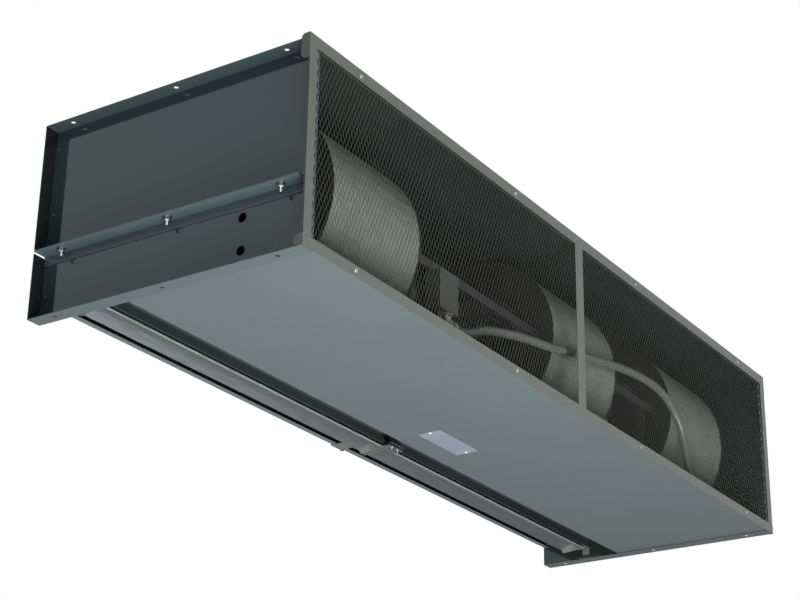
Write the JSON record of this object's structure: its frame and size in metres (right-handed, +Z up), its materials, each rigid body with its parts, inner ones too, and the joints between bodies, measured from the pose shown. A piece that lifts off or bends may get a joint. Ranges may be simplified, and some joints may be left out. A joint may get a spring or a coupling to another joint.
{
  "type": "air curtain",
  "caption": "Horizontal industrial air curtain: sheet-steel cabinet with an expanded-metal intake grille, double-inlet blowers on shared motors and a slot nozzle with hinged vanes.",
  "frame": {"origin": "under the middle of the outline, in the plane of the cabinet's underside", "axes": "+X along the cabinet, from its left end to its right end seen from the grille; +Y from the grille to the rear panel; +Z up"},
  "size_m": [2.365, 0.7548, 0.496],
  "materials": {
    "dark_sheet": "semi-gloss dark grey paint",
    "bottom_sheet": "satin mid grey paint",
    "grille_frame": "satin grey paint",
    "expanded_metal": "dark expanded steel",
    "angle_steel": "dark paint on steel angle",
    "fastener": "zinc-plated",
    "nameplate": "bare matt aluminium",
    "nozzle_sheet": "dark paint",
    "blower_wrap": "galvanised grey",
    "blower_side": "dark grey",
    "blower_inlet": "grey",
    "wheel": "galvanised steel",
    "motor": "black enamel",
    "shaft": "ground steel",
    "bracketry": "grey steel",
    "rubber": "black rubber",
    "junction_box": "grey steel",
    "conduit": "grey metal hose",
    "conduit_fitting": "zinc",
    "earth_wire": "insulation",
    "motor_lead": "black insulation",
    "vane": "satin aluminium",
    "knob": "black plastic",
    "wing_nut": "plain brass"
  },
  "bodies": {
    "cabinet": {"left_end_panel": "dark_sheet", "right_end_panel": "dark_sheet", "top_panel": "dark_sheet", "rear_panel": "dark_sheet", "bottom_panel": "bottom_sheet", "grille_top_rail": "grille_frame", "grille_bottom_rail": "grille_frame", "grille_stiles": "grille_frame", "grille_mullion": "grille_frame", "left_grille_mesh": "expanded_metal", "right_grille_mesh": "expanded_metal", "grille_screws": "fastener", "mounting_angles": "angle_steel", "mounting_bolts": "fastener", "mounting_nuts": "fastener", "rivets": "fastener", "nameplate": "nameplate", "nozzle_front_wall": "nozzle_sheet", "nozzle_rear_wall": "nozzle_sheet", "lock_tab": "nozzle_sheet", "blower_deck": "nozzle_sheet", "left_blower_wrap": "blower_wrap", "left_blower_sides": "blower_side", "left_blower_inlets": "blower_inlet", "middle_blower_wrap": "blower_wrap", "middle_blower_sides": "blower_side", "middle_blower_inlets": "blower_inlet", "right_blower_wrap": "blower_wrap", "right_blower_sides": "blower_side", "right_blower_inlets": "blower_inlet", "long_motor": "motor", "short_motor": "motor", "motor_cradles": "bracketry", "motor_rings": "rubber", "tie_rails": "bracketry", "junction_box": "junction_box", "junction_box_cover": "junction_box", "junction_box_strap": "bracketry", "conduit": "conduit", "conduit_fittings": "conduit_fitting", "earth_wire": "earth_wire", "motor_lead": "motor_lead", "vane_end_brackets": "bracketry", "centre_bracket": "bracketry", "centre_bolts": "fastener", "lock_clip": "vane"},
    "long_rotor": {"long_shaft": "shaft", "left_blower_wheel": "wheel", "left_wheel_rings": "wheel", "middle_blower_wheel": "wheel", "middle_wheel_rings": "wheel"},
    "short_rotor": {"short_shaft": "shaft", "right_blower_wheel": "wheel", "right_wheel_rings": "wheel"},
    "left_vane_body": {"left_vane": "vane", "left_vane_caps": "vane"},
    "right_vane_body": {"right_vane": "vane", "right_vane_caps": "vane"},
    "knob_body": {"lock_knob": "knob"},
    "wing_nut_body": {"wing_nut": "wing_nut"}
  },
  "joints": [
    {"name": "long_rotor_spin", "type": "hinge", "parent": "cabinet", "child": "long_rotor", "pos_m": [-0.3375, -0.07165, 0.21857], "axis": [1, 0, 0], "continuous": true},
    {"name": "short_rotor_spin", "type": "hinge", "parent": "cabinet", "child": "short_rotor", "pos_m": [0.4825, -0.07165, 0.21857], "axis": [1, 0, 0], "continuous": true},
    {"name": "left_vane_tilt", "type": "hinge", "parent": "cabinet", "child": "left_vane_body", "pos_m": [-0.5565, 0.22335, 0.03], "axis": [-1, 0, 0], "range_deg": [0, 40]},
    {"name": "right_vane_tilt", "type": "hinge", "parent": "cabinet", "child": "right_vane_body", "pos_m": [0.5565, 0.22335, 0.03], "axis": [-1, 0, 0], "range_deg": [0, 40]},
    {"name": "lock_knob_turn", "type": "hinge", "parent": "cabinet", "child": "knob_body", "pos_m": [0.002, 0.19585, 0.0312], "axis": [0, 0, 1], "continuous": true},
    {"name": "wing_nut_turn", "type": "hinge", "parent": "cabinet", "child": "wing_nut_body", "pos_m": [0.028, 0.19585, 0.0312], "axis": [0, 0, 1], "continuous": true}
  ]
}
